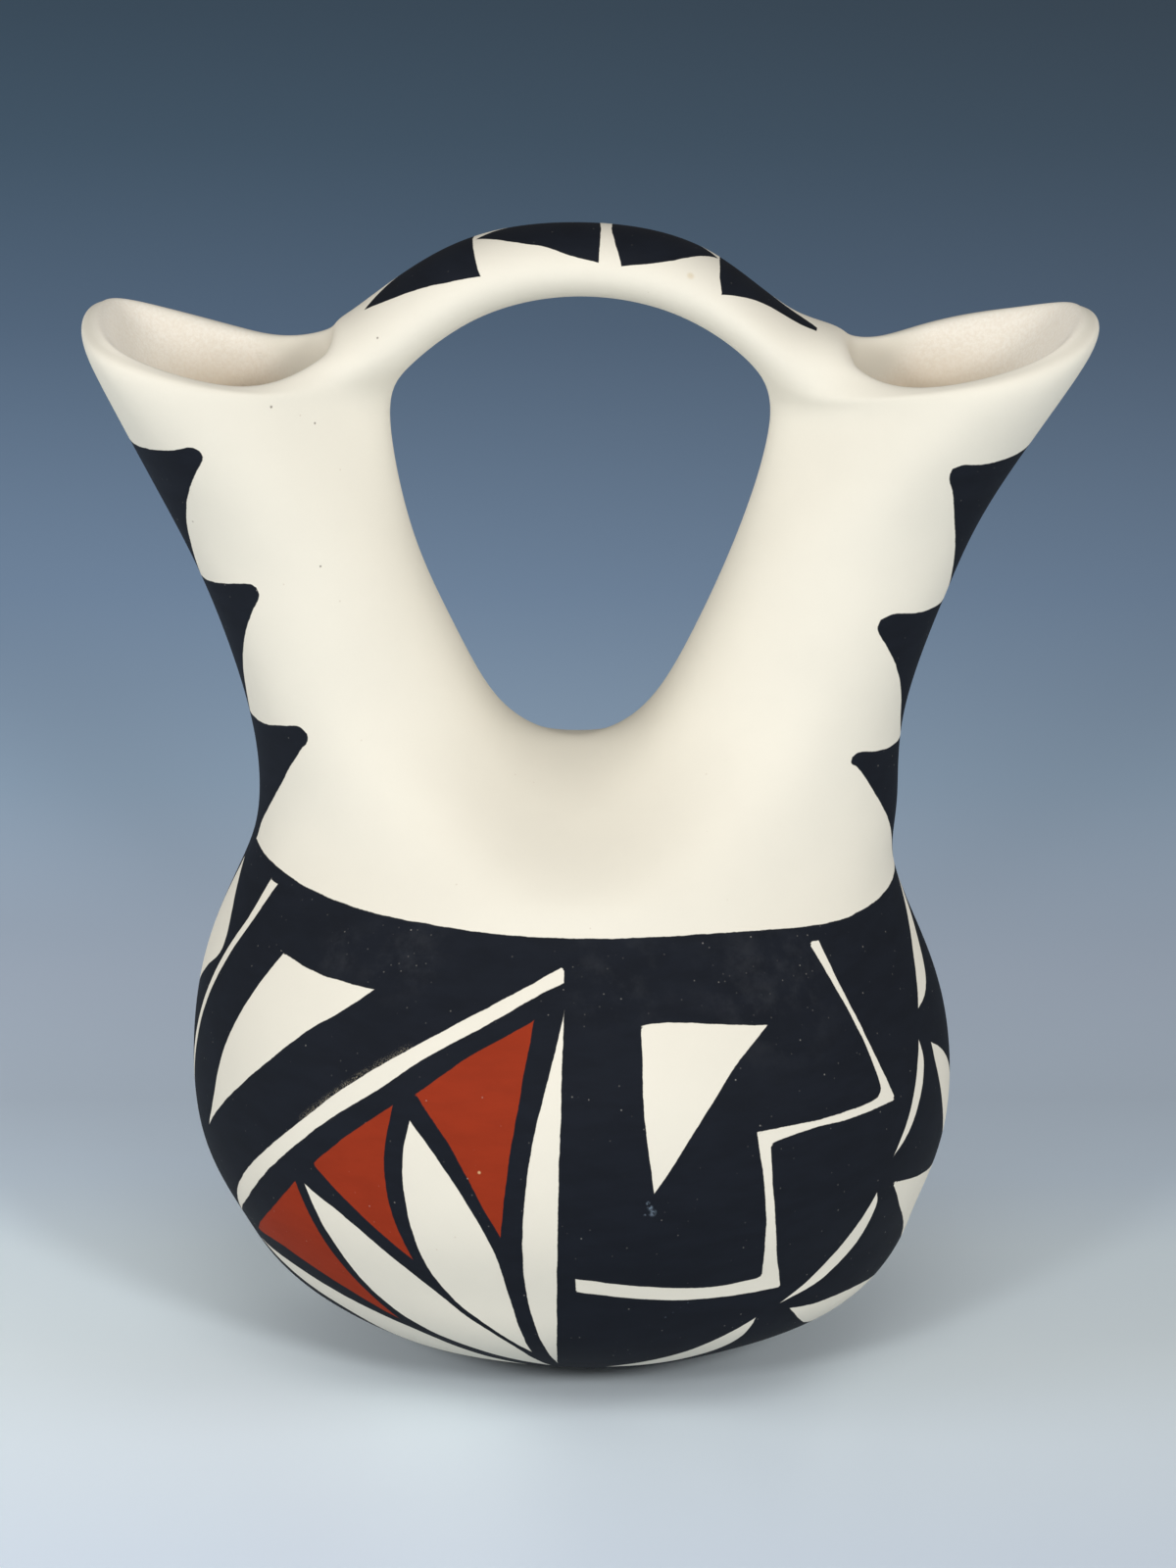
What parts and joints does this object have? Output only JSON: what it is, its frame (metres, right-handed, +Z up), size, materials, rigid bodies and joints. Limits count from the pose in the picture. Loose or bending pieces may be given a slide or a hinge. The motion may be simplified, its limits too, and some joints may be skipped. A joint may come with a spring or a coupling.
{
  "type": "wedding vase",
  "caption": "Hollow hand-built clay wedding vase: round belly, two spouts that lean apart from one neck, and an arched handle between their rims.",
  "frame": {"origin": "middle of the flat foot, on the surface that the vase stands on", "axes": "+Z up through the handle, +X towards the right spout as the pictured front is seen, front faces -Y"},
  "size_m": [0.2034, 0.154, 0.2334],
  "materials": {
    "painted_belly": "matt black mineral paint over cream slip",
    "slipped_neck": "matt cream slip, stone-smoothed",
    "slipped_spouts": "matt cream slip, stone-smoothed",
    "slipped_handle": "matt cream slip with black painted teeth"
  },
  "bodies": {
    "root": {"base_bowl": "painted_belly", "belly_wall": "painted_belly", "shoulder_wall": "painted_belly", "yoke": "slipped_neck", "left_spout": "slipped_spouts", "right_spout": "slipped_spouts", "left_lip": "slipped_spouts", "right_lip": "slipped_spouts", "handle_arch": "slipped_handle"}
  },
  "joints": []
}
